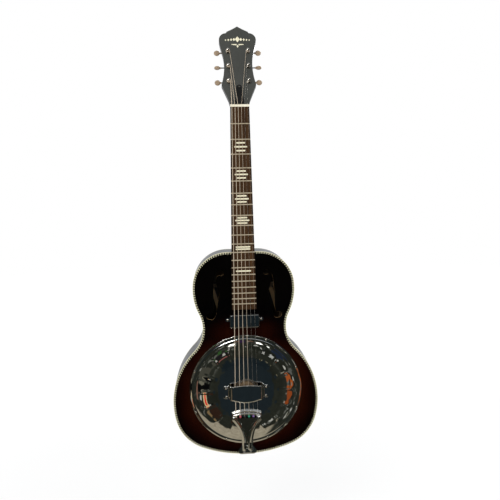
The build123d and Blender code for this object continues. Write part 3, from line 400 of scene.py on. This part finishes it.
def ring_faces(rings, around, closed_rings=True):
    """Quads of a grid of rings x around points, closed around and, if asked, ring to ring."""
    faces = []
    for ring in range(rings if closed_rings else rings - 1):
        following = (ring + 1) % rings
        for step in range(around):
            side = (step + 1) % around
            faces.append((ring * around + step, ring * around + side,
                          following * around + side, following * around + step))
    return faces


def smoothstep(value, low, high):
    t = min(1.0, max(0.0, (value - low) / (high - low)))
    return t * t * (3 - 2 * t)


def rounded_path(corners, pieces, steps=8):
    """Corners (x, y, radius) as points: each straight run in pieces, each corner as an arc."""
    path, last = [Vector(corners[0][:2])], Vector(corners[0][:2])

    def run(start, end, count):
        path.extend(start.lerp(end, (part + 1) / count) for part in range(count))

    for before, here, after, count in zip(corners, corners[1:], corners[2:], pieces):
        corner = Vector(here[:2])
        back = (Vector(before[:2]) - corner).normalized()
        ahead = (Vector(after[:2]) - corner).normalized()
        half_angle = back.angle(ahead) / 2
        setback = here[2] / math.tan(half_angle)
        centre = corner + (back + ahead).normalized() * (here[2] / math.sin(half_angle))
        spoke, final = corner + back * setback - centre, corner + ahead * setback - centre
        turn = (math.pi - 2 * half_angle) * (1 if spoke.cross(final) > 0 else -1)
        run(last, centre + spoke, count)
        for step in range(1, steps + 1):
            c, s = math.cos(turn * step / steps), math.sin(turn * step / steps)
            path.append(centre + Vector((c * spoke.x - s * spoke.y, s * spoke.x + c * spoke.y)))
        last = centre + final
    run(last, Vector(corners[-1][:2]), pieces[-1])
    return path


# Cover plate --------------------------------------------------------------------------------

FLUTES = 16
DOME_START, DOME_END, DOME_POWER = 60.0, 124.3, 1.7
PLATEAU_Y = -1.0
RIM_Y = TOP_Y - COVER_SHEET


def dome_y(radius):
    """Front of the plate: flat middle, then a dome that steepens towards the rim."""
    t = min(1.0, max(0.0, (radius - DOME_START) / (DOME_END - DOME_START)))
    return PLATEAU_Y + (RIM_Y - PLATEAU_Y) * (1 - (1 - t ** DOME_POWER) ** (1 / DOME_POWER))


def flute_rise(radius, angle):
    """How far the pressed flutes stand towards the player."""
    pitch = 2 * math.pi / FLUTES
    off = abs((angle + pitch / 2) % pitch - pitch / 2) * radius
    core = smoothstep(radius, 71, 80) * (1 - smoothstep(radius, 103, 113))
    lead = smoothstep(radius, 54, 64) * (1 - smoothstep(radius, 64, 76))
    return 0.26 * core * math.exp(-(off / 5.0) ** 2) + 0.10 * lead * math.exp(-(off / 7.0) ** 2)


def cover_plate():
    """Pressed plate with a turned-down lip, dome, flat rim and flutes."""
    flat = PLATEAU_Y
    front = [(28.0, flat + 2.4), (28.0, flat + 0.9), (28.15, flat + 0.48)]
    front += [(28.5, flat + 0.16), (28.95, flat + 0.02)]
    radii = [29.5 + 2.0 * index for index in range(15)] + [58.75 + 1.25 * index for index in range(48)]
    radii += [118.4, 119.5, 120.5, 121.3, 122.0, 122.6, 123.1, 123.5, 123.8, 124.05, 124.2, 124.3]
    front += [(radius, dome_y(radius)) for radius in radii]
    front += [(125.0, RIM_Y), (131.4, RIM_Y), (131.8, RIM_Y + 0.12), (132.0, RIM_Y + 0.4)]
    back = [(132.0, TOP_Y), (124.0, TOP_Y)]
    back += [(radius - 0.3, dome_y(radius) + COVER_SHEET) for radius in (123.9, 123.2, 122, 120.5, 118.5)]
    back += [(radius - 0.3, dome_y(radius) + COVER_SHEET) for radius in range(116, 60, -3)]
    back += [(58, flat + COVER_SHEET), (30.0, flat + COVER_SHEET), (28.9, flat + 1.3), (28.9, flat + 2.4)]
    profile = front + back
    around = FLUTES * 24
    points = []
    for radius, y in profile:
        for step in range(around):
            angle = 2 * math.pi * step / around
            rise = flute_rise(radius, angle)
            points.append((radius * math.cos(angle), y - rise, CONE_Z + radius * math.sin(angle)))
    add_piece("coverplate_pressed", points, ring_faces(len(profile), around), [MATERIALS["chrome"]],
              "guitar", 40, ["coverplate"])


# Hand rest ----------------------------------------------------------------------------------

REST_SHEET = 1.2


def rest_section(inset):
    """Points of the hand rest seen along the strings, moved back by inset."""
    seat, top = PLATEAU_Y - REST_SHEET + inset, -14.5 + inset
    half = [(54.0, seat, 0), (41.0 - inset, seat, 2.0 + inset), (38.6 - inset, top, 5.5 - inset)]
    corners = [(-x, y, r) for x, y, r in half] + [(0, top - 0.9, 400.0)] + half[::-1]
    return rounded_path(corners, (8, 4, 12, 12, 4, 8))


def hand_rest():
    """Bent sheet bridge over the saddle, its tail edge rolled back a little."""
    shares = [part / 12 * 0.9 for part in range(13)] + [0.9 + part / 9 * 0.1 for part in range(1, 10)]
    roll, corner = 3.0, 5.0
    loops = []
    for outer, inner in zip(rest_section(0.0), rest_section(REST_SHEET)):
        far = abs(outer.x)
        blend = smoothstep(far, 41.6, 44.0)
        cut = max(0.0, far - (54.0 - corner))
        round_off = corner - math.sqrt(max(0.0, corner ** 2 - cut ** 2))
        high = -632.8 - 3.2 * (far / 42.5) ** 2
        low = -674.2 + 11.2 * (far / 42.5) ** 2
        high += (-637.4 - round_off - high) * blend
        low += (-666.4 + round_off - low) * blend
        raised = 1 - smoothstep(far, 29.0, 36.5)
        rows = []
        for share in shares:
            z = high + (low - high) * share
            deep = max(0.0, roll - (z - low)) * raised
            back = (roll - math.sqrt(max(0.0, roll ** 2 - min(deep, 0.93 * roll) ** 2))) * raised
            rows.append((Vector((outer.x, outer.y + back, z)), Vector((inner.x, inner.y + back, z))))
        loop = [pair[0] for pair in rows] + half_round(rows[-1], rows[-2])
        loop += [pair[1] for pair in reversed(rows)] + half_round(rows[0][::-1], rows[1][::-1])
        loops.append(loop)
    count, rows = len(loops[0]), len(shares)
    faces = ring_faces(len(loops), count, False)
    for column in (0, len(loops) - 1):
        base = column * count
        inner = base + count - 4
        faces += [(base + row, base + row + 1, inner - row - 1, inner - row) for row in range(rows - 1)]
        faces.append(tuple(base + rows - 1 + step for step in range(5)))
        faces.append((inner, inner + 1, inner + 2, inner + 3, base))
    points = [point for loop in loops for point in loop]
    add_piece("handrest_shell", points, faces, [MATERIALS["chrome"]], "guitar", 45, ["handrest"])


def half_round(edge, before):
    """Three points that round a sheet's edge, from the first to the second point of the edge."""
    middle, radius = (edge[0] + edge[1]) / 2, (edge[0] - edge[1]).length / 2
    out = (edge[0] - before[0]).normalized() * radius
    along = edge[0] - middle
    angles = (math.pi / 4, math.pi / 2, math.pi * 3 / 4)
    return [middle + along * math.cos(a) + out * math.sin(a) for a in angles]


# Rope purfling ------------------------------------------------------------------------------

def outline(inset, spacing):
    """Closed loop of (x, z, across x, across z) about spacing apart along the body outline, moved in."""
    x, z, heading = 0.0, TAIL_Z + inset, 0.0
    right = []
    for radius, turn in BODY_ARCS:
        bend = 1 if radius > 0 else -1
        r = abs(radius) - bend * inset
        centre = (x - bend * r * math.sin(heading), z + bend * r * math.cos(heading))
        steps = max(1, round(r * math.radians(turn) / spacing))
        for step in range(steps):
            h = heading + bend * math.radians(turn) * step / steps
            right.append((centre[0] + bend * r * math.sin(h), centre[1] - bend * r * math.cos(h), h))
        heading += bend * math.radians(turn)
        x, z = centre[0] + bend * r * math.sin(heading), centre[1] - bend * r * math.cos(heading)
    straight = max(1, round(x / spacing))
    right += [(x * (1 - step / straight), z, math.pi) for step in range(straight)]
    left = [(-px, pz, 2 * math.pi - h) for px, pz, h in reversed(right[1:])]
    loop = right + [(0.0, z, math.pi)] + left
    return [(px, pz, -math.sin(h), math.cos(h)) for px, pz, h in loop]


def rope_purfling():
    """Twisted strip between binding and top: slanted cream pieces between longer black ones."""
    middle, half_width, front, back, slant = 2.85, 1.85, TOP_Y - 0.04, TOP_Y + 1.38, 0.4
    loop = outline(middle, 1.9)
    while len(loop) % 3:
        loop.pop(len(loop) // 2)
    points = []
    for px, pz, nx, nz in loop:
        tx, tz = nz, -nx
        for offset, shift in ((-half_width, -slant), (half_width, slant)):
            x, z = px + nx * offset + tx * shift, pz + nz * offset + tz * shift
            points += [(x, front, z), (x, back, z)]
    faces, index = [], []
    count = len(loop)
    for step in range(count):
        a, b = step * 4, (step + 1) % count * 4
        quads = [(a, b, b + 2, a + 2), (a + 1, a + 3, b + 3, b + 1), (a, a + 1, b + 1, b),
                 (a + 2, b + 2, b + 3, a + 3)]
        faces += quads
        index += [min(1, step % 3)] * len(quads)
    add_piece("rope_purfling", points, faces, [MATERIALS["cream_binding"], ROPE_DARK], "guitar",
              30, ["purfling"], index)


# Headstock details --------------------------------------------------------------------------

def on_head(x, y, z):
    """Point given on the headstock: across, up the face, out from the face."""
    s, c = math.sin(HEAD_TILT), math.cos(HEAD_TILT)
    return HEAD_ORIGIN + Vector((x, y * s - z * c, y * c + z * s))


def head_ornament():
    """Plain lozenges and bars let into the headstock face."""
    shapes = []

    def lozenge(x, y, half_x, half_y):
        shapes.append([(x - half_x, y), (x, y - half_y), (x + half_x, y), (x, y + half_y)])

    lozenge(0, 153.5, 5.4, 7.2)
    for step in range(1, 5):
        for side in (-1, 1):
            lozenge(side * (1.5 + 6.3 * step), 153.5 - 0.5 * step, 3.2 - 0.35 * step, 4.6 - 0.65 * step)
    for side in (-1, 1):
        shapes.append([(side * 2.2, 139.0), (side * 13.5, 140.4), (side * 13.5, 141.9), (side * 2.2, 142.2)])
    lozenge(0, 137.0, 2.2, 4.0)
    points, faces = [], []
    for shape in shapes:
        base, count = len(points), len(shape)
        points += [on_head(x, y, 0.06) for x, y in shape] + [on_head(x, y, -0.4) for x, y in shape]
        faces.append(tuple(base + i for i in range(count)))
        faces.append(tuple(base + count + i for i in reversed(range(count))))
        for i in range(count):
            j = (i + 1) % count
            faces.append((base + i, base + count + i, base + count + j, base + j))
    add_piece("head_ornament", points, faces, [MATERIALS["cream_inlay"]], "guitar", 30)


def tube(path, radius, sides):
    """Points and faces of a closed round tube along a path, with flat ends."""
    points = []
    normal = None
    for index, spot in enumerate(path):
        along = (path[min(index + 1, len(path) - 1)] - path[max(index - 1, 0)]).normalized()
        if normal is None:
            normal = along.orthogonal().normalized()
        normal = (normal - along * normal.dot(along)).normalized()
        other = along.cross(normal)
        for step in range(sides):
            angle = 2 * math.pi * step / sides
            points.append(spot + (normal * math.cos(angle) + other * math.sin(angle)) * radius)
    faces = ring_faces(len(path), sides, False)
    last = (len(path) - 1) * sides
    faces.append(tuple(reversed(range(sides))))
    faces.append(tuple(last + step for step in range(sides)))
    return points, faces


WINDING_LOW, WINDING_HIGH = 4.2, 6.9


def string_windings():
    """Turns of string round each post, carrying on from where the taut string meets it."""
    left = [(index, -1, y) for index, y in enumerate(POST_ROWS)]
    right = [(index + 3, 1, y) for index, y in enumerate(reversed(POST_ROWS))]
    for index, side, y in left + right:
        radius = STRINGS[index] / 2
        reach = POST_RADIUS + 0.06 + radius
        turns = min(4.5, (WINDING_HIGH - WINDING_LOW) / (2.06 * radius))
        turns = math.floor(turns) + 0.5
        steps = int(turns * 28)
        start = math.pi if side > 0 else 0.0
        path = []
        for step in range(steps + 1):
            part = step / steps
            angle = start + side * 2 * math.pi * turns * part
            height = WINDING_LOW + turns * 2.06 * radius * part
            x = side * POST_X + reach * math.cos(angle)
            path.append(on_head(x, y + reach * math.sin(angle), height))
        points, faces = tube(path, radius, 10)
        name = "string_winding_" + str(index + 1)
        slot = "bronze" if index < 4 else "steel"
        add_piece(name, points, faces, [MATERIALS[slot]], "post_" + str(index + 1), 50)


# Studio -------------------------------------------------------------------------------------

def floor():
    """Wide pale floor that brightens away from the instrument."""
    points = [(0, 0, 0)]
    sides, rings = 64, (0.6, 1.2, 2.4, 4.0, 6.5)
    for radius in rings:
        for step in range(sides):
            angle = 2 * math.pi * step / sides
            points.append((radius * math.cos(angle), radius * math.sin(angle), 0))
    faces = [(0, 1 + step, 1 + (step + 1) % sides) for step in range(sides)]
    for ring in range(len(rings) - 1):
        a, b = 1 + ring * sides, 1 + (ring + 1) * sides
        faces += [(a + s, b + s, b + (s + 1) % sides, a + (s + 1) % sides) for s in range(sides)]
    mesh = bpy.data.meshes.new("floor")
    mesh.from_pydata([Vector(point) + Vector((0, 0, -1.25)) for point in points], [], faces)
    material, tree, shader = new_material("floor_finish", Roughness=0.8, Specular_IOR_Level=0.1)
    colour = tree.ramp(tree.noise((3, 3, 3), 4), [(0.3, (0.91, 0.91, 0.90)), (0.7, (0.94, 0.94, 0.93))])
    tree.set(shader.inputs["Base Color"], colour)
    x, y, _ = tree.split(tree.add("ShaderNodeTexCoord").outputs["Object"])
    reach = tree.math("SQRT", tree.math("ADD", tree.math("MULTIPLY", x, x), tree.math("MULTIPLY", y, y)))
    glow = tree.add("ShaderNodeEmission", {"Color": (1, 1, 1, 1), "Strength": 1.02})
    blend = tree.add("ShaderNodeMixShader", {0: tree.step(reach, -0.6, 1.9)})
    tree.set(blend.inputs[1], shader.outputs[0])
    tree.set(blend.inputs[2], glow.outputs[0])
    output = material.node_tree.nodes["Material Output"]
    tree.set(output.inputs["Surface"], blend.outputs[0])
    mesh.materials.append(material)
    piece = bpy.data.objects.new("floor", mesh)
    bpy.context.scene.collection.objects.link(piece)
    piece.visible_glossy = False


# What the plate mirrors, on a flat chart square to its mirror direction: across, up, half width,
# half height, turn in degrees, colour
ROOM_SHAPES = (
    (-0.36, 0.14, 0.14, 0.06, -20, (0.06, 0.058, 0.044)),
    (-0.31, 0.015, 0.12, 0.03, 0, (0.003, 0.003, 0.003)),
    (-0.34, 0.055, 0.07, 0.012, -12, (0.16, 0.15, 0.11)),
    (-0.26, -0.055, 0.028, 0.04, 15, (0.62, 0.45, 0.24)),
    (-0.25, -0.07, 0.011, 0.018, 10, (0.7, 0.02, 0.015)),
    (-0.17, -0.12, 0.05, 0.045, 20, (0.028, 0.014, 0.009)),
    (-0.24, -0.17, 0.03, 0.02, -30, (0.2, 0.13, 0.06)),
    (-0.3, 0.27, 0.03, 0.028, 40, (0.14, 0.14, 0.12)),
    (-0.22, 0.33, 0.02, 0.04, 25, (0.03, 0.08, 0.022)),
    (-0.19, 0.25, 0.03, 0.024, 35, (0.012, 0.01, 0.012)),
    (-0.14, 0.21, 0.022, 0.008, 30, (0.26, 0.09, 0.08)),
    (-0.13, 0.46, 0.03, 0.035, 0, (3.0, 2.9, 2.6)),
    (0.02, 0.4, 0.01, 0.016, 0, (2.2, 2.2, 2.1)),
    (0.16, 0.5, 0.034, 0.04, 0, (3.0, 2.9, 2.7)),
    (-0.03, 0.62, 0.04, 0.12, 0, (0.035, 0.016, 0.055)),
    (-0.1, 0.66, 0.035, 0.06, 0, (0.16, 0.09, 0.06)),
    (0.07, 0.6, 0.035, 0.06, 0, (0.16, 0.09, 0.06)),
    (0.24, 0.42, 0.012, 0.03, -30, (1.4, 1.4, 1.3)),
    (0.3, 0.3, 0.07, 0.05, -35, (0.014, 0.02, 0.036)),
    (0.48, 0.42, 0.11, 0.09, -40, (0.016, 0.022, 0.042)),
    (0.1, 0.145, 0.04, 0.01, -25, (0.24, 0.21, 0.13)),
    (0.2, 0.165, 0.03, 0.006, 28, (0.3, 0.28, 0.22)),
    (0.17, 0.23, 0.008, 0.03, -30, (0.4, 0.4, 0.38)),
    (0.4, 0.13, 0.045, 0.035, 10, (0.1, 0.1, 0.09)),
    (0.3, 0.075, 0.045, 0.035, 12, (0.34, 0.08, 0.018)),
    (0.36, 0.01, 0.04, 0.035, -8, (0.36, 0.085, 0.018)),
    (0.3, 0.075, 0.014, 0.012, 12, (0.012, 0.01, 0.008)),
    (0.3, -0.065, 0.05, 0.035, 8, (0.25, 0.055, 0.014)),
    (0.35, 0.01, 0.014, 0.016, 0, (0.2, 0.18, 0.15)),
    (0.27, -0.02, 0.04, 0.005, 35, (0.4, 0.36, 0.3)),
    (0.2, -0.22, 0.008, 0.026, 25, (0.46, 0.44, 0.32)),
    (0.25, -0.27, 0.03, 0.007, -20, (0.42, 0.4, 0.3)),
    (0.34, -0.27, 0.008, 0.03, -30, (0.5, 0.48, 0.38)),
    (0.42, -0.36, 0.04, 0.01, 20, (0.36, 0.34, 0.26)),
    (-0.46, -0.02, 0.03, 0.09, 10, (0.2, 0.1, 0.07)),
    (0.0, 0.13, 0.11, 0.04, 0, (0.009, 0.014, 0.017)),
)


def room_chart(tree, direction):
    """Dark room with furniture and lamps, charted square to what the plate's flat middle mirrors."""
    axes = ((0.99899, 0.04177, 0.01676), (0.01804, -0.37161, 0.92821), (0.04501, -0.92712, -0.37205))
    across, up, ahead = (tree.add("ShaderNodeVectorMath", {0: direction, 1: axis},
                                  operation="DOT_PRODUCT").outputs["Value"] for axis in axes)
    ahead = tree.math("MAXIMUM", ahead, 0.05)
    across, up = tree.math("DIVIDE", across, ahead), tree.math("DIVIDE", up, ahead)
    flat = tree.add("ShaderNodeCombineXYZ", {0: across, 1: up}).outputs[0]
    rough = tree.add("ShaderNodeTexNoise", {"Vector": flat, "Scale": 14.0, "Detail": 2.0}).outputs["Color"]
    shift = tree.add("ShaderNodeVectorMath", {0: rough, 1: (0.5, 0.5, 0.5)}, operation="SUBTRACT").outputs[0]
    bent = tree.add("ShaderNodeVectorMath", {0: shift, 1: (0.045, 0.045, 0), 2: flat},
                    operation="MULTIPLY_ADD").outputs[0]

    def place(x, y, half_x, half_y, turn):
        mapping = tree.add("ShaderNodeMapping", {
            "Vector": bent, "Location": (x, y, 0), "Rotation": (0, 0, math.radians(turn)),
            "Scale": (half_x, half_y, 1)}, vector_type="TEXTURE").outputs[0]
        size = tree.add("ShaderNodeVectorMath", {0: mapping}, operation="ABSOLUTE").outputs[0]
        x, y, _ = tree.split(size)
        return tree.step(tree.math("MAXIMUM", x, y), 1.12, 0.88)

    cloud = tree.add("ShaderNodeTexNoise", {"Vector": flat, "Scale": 6.0, "Detail": 3.0}).outputs[0]
    room = tree.ramp(cloud, [(0.3, (0.010, 0.011, 0.008)), (0.7, (0.026, 0.028, 0.021))])
    room = tree.mix(place(0.0, 0.03, 0.10, 0.135, 0), room, (0.012, 0.0175, 0.0205, 1))
    cells = tree.add("ShaderNodeTexVoronoi", {"Vector": flat, "Scale": 21.0, "Randomness": 1.0},
                     distance="CHEBYCHEV")
    pick = tree.add("ShaderNodeSeparateColor", {0: cells.outputs["Color"]}).outputs
    light = tree.ramp(pick[0], [(0, (0, 0, 0)), (0.62, (0.02, 0.02, 0.018)), (0.80, (0.09, 0.09, 0.08)),
                                (0.93, (0.42, 0.41, 0.37))], "CONSTANT")
    reach = tree.add("ShaderNodeVectorMath", {0: flat}, operation="LENGTH").outputs["Value"]
    clutter = tree.math("MULTIPLY", tree.step(reach, 0.16, 0.24), tree.step(reach, 0.80, 0.55))
    clutter = tree.math("MULTIPLY", clutter, tree.step(cells.outputs["Distance"], 0.5, 0.35))
    room = tree.add("ShaderNodeMix", {0: clutter, 6: room, 7: light}, data_type="RGBA",
                    blend_type="ADD").outputs[2]
    for x, y, half_x, half_y, turn, colour in ROOM_SHAPES:
        room = tree.mix(place(x, y, half_x, half_y, turn), room, (*colour, 1))
    return room, flat


def studio_world():
    """White surroundings, with a dark furnished room and a pale floor for glossy parts to mirror."""
    world = bpy.data.worlds.new("studio")
    bpy.context.scene.world = world
    world.use_nodes = True
    world.cycles.sampling_method = "NONE"
    tree = Tree(world.node_tree)
    world.node_tree.nodes.clear()
    direction = tree.add("ShaderNodeTexCoord").outputs["Generated"]
    x, y, z = tree.split(direction)
    room, flat = room_chart(tree, direction)

    # Pale floor below, mostly on the left, grey wall behind the instrument, pale ceiling above
    carpet = tree.add("ShaderNodeTexNoise", {"Vector": flat, "Scale": 30.0, "Detail": 5.0}).outputs[0]
    pale = tree.ramp(carpet, [(0.3, (0.25, 0.215, 0.150)), (0.7, (0.40, 0.355, 0.265))])
    rug = tree.add("ShaderNodeTexNoise", {"Vector": flat, "Scale": 9.0, "Detail": 2.0}).outputs[0]
    edge = tree.math("ADD", z, tree.math("MULTIPLY", tree.math("SUBTRACT", rug, 0.5), 0.16))
    floor_part = tree.math("MULTIPLY", tree.step(edge, -0.575, -0.60), tree.step(x, 0.25, 0.19))
    floor_part = tree.math("MAXIMUM", floor_part, tree.step(z, -0.80, -0.88))
    room = tree.mix(floor_part, room, pale)
    room = tree.mix(tree.step(y, 0.05, 0.30), room, (0.40, 0.41, 0.42, 1))
    room = tree.mix(tree.step(z, 0.62, 0.74), room, (0.60, 0.61, 0.62, 1))

    path = tree.add("ShaderNodeLightPath").outputs
    glossy = tree.add("ShaderNodeBackground", {"Color": room, "Strength": 1.0})
    soft = tree.add("ShaderNodeBackground", {"Color": (0.97, 0.98, 1.0, 1), "Strength": 0.80})
    white = tree.add("ShaderNodeBackground", {"Color": (1, 1, 1, 1), "Strength": 1.0})
    glossy, soft, white = glossy.outputs[0], soft.outputs[0], white.outputs[0]
    lit = tree.add("ShaderNodeMixShader", {0: path["Is Glossy Ray"], 1: soft, 2: glossy})
    seen = tree.add("ShaderNodeMixShader", {0: path["Is Camera Ray"], 1: lit.outputs[0], 2: white})
    tree.add("ShaderNodeOutputWorld", {"Surface": seen.outputs[0]})


def soft_light(name, place, target, size, power, colour, glossy=True):
    data = bpy.data.lights.new(name, "AREA")
    data.shape = "RECTANGLE"
    data.size, data.size_y = size
    data.energy = power
    data.color = colour
    light = bpy.data.objects.new(name, data)
    bpy.context.scene.collection.objects.link(light)
    aim = Vector(place) - Vector(target)
    light.matrix_world = Matrix.Translation(place) @ aim.to_track_quat("Z", "Y").to_matrix().to_4x4()
    light.visible_camera = False
    light.visible_glossy = glossy


def camera():
    data = bpy.data.cameras.new("camera")
    data.lens, data.sensor_width = 36.137, 36.0
    data.clip_start, data.clip_end = 0.02, 40
    piece = bpy.data.objects.new("camera", data)
    bpy.context.scene.collection.objects.link(piece)
    right = (0.99759284, -0.06603976, -0.02114878)
    up = (0.0283778, 0.11052197, 0.99346847)
    back = (-0.06327102, -0.99167719, 0.11212999)
    turn = Matrix((right, up, back)).transposed().to_4x4()
    piece.matrix_world = Matrix.Translation((-0.05635867, -1.13226421, -0.18979872)) @ turn
    bpy.context.scene.camera = piece


dress_nodes()
cover_plate()
hand_rest()
rope_purfling()
head_ornament()
string_windings()
floor()
studio_world()
soft_light("key", (-0.75, -1.7, 0.9), (0, 0, -0.45), (0.9, 0.6), 16, (1, 0.98, 0.95))
soft_light("fill", (1.3, -1.5, -0.1), (0, 0, -0.5), (0.5, 1.2), 6, (0.95, 0.97, 1), False)
soft_light("rim", (0.6, 1.4, 0.9), (0, 0, -0.4), (0.9, 0.9), 12, (1, 1, 1))
camera()
bpy.context.scene.view_settings.view_transform = "Standard"
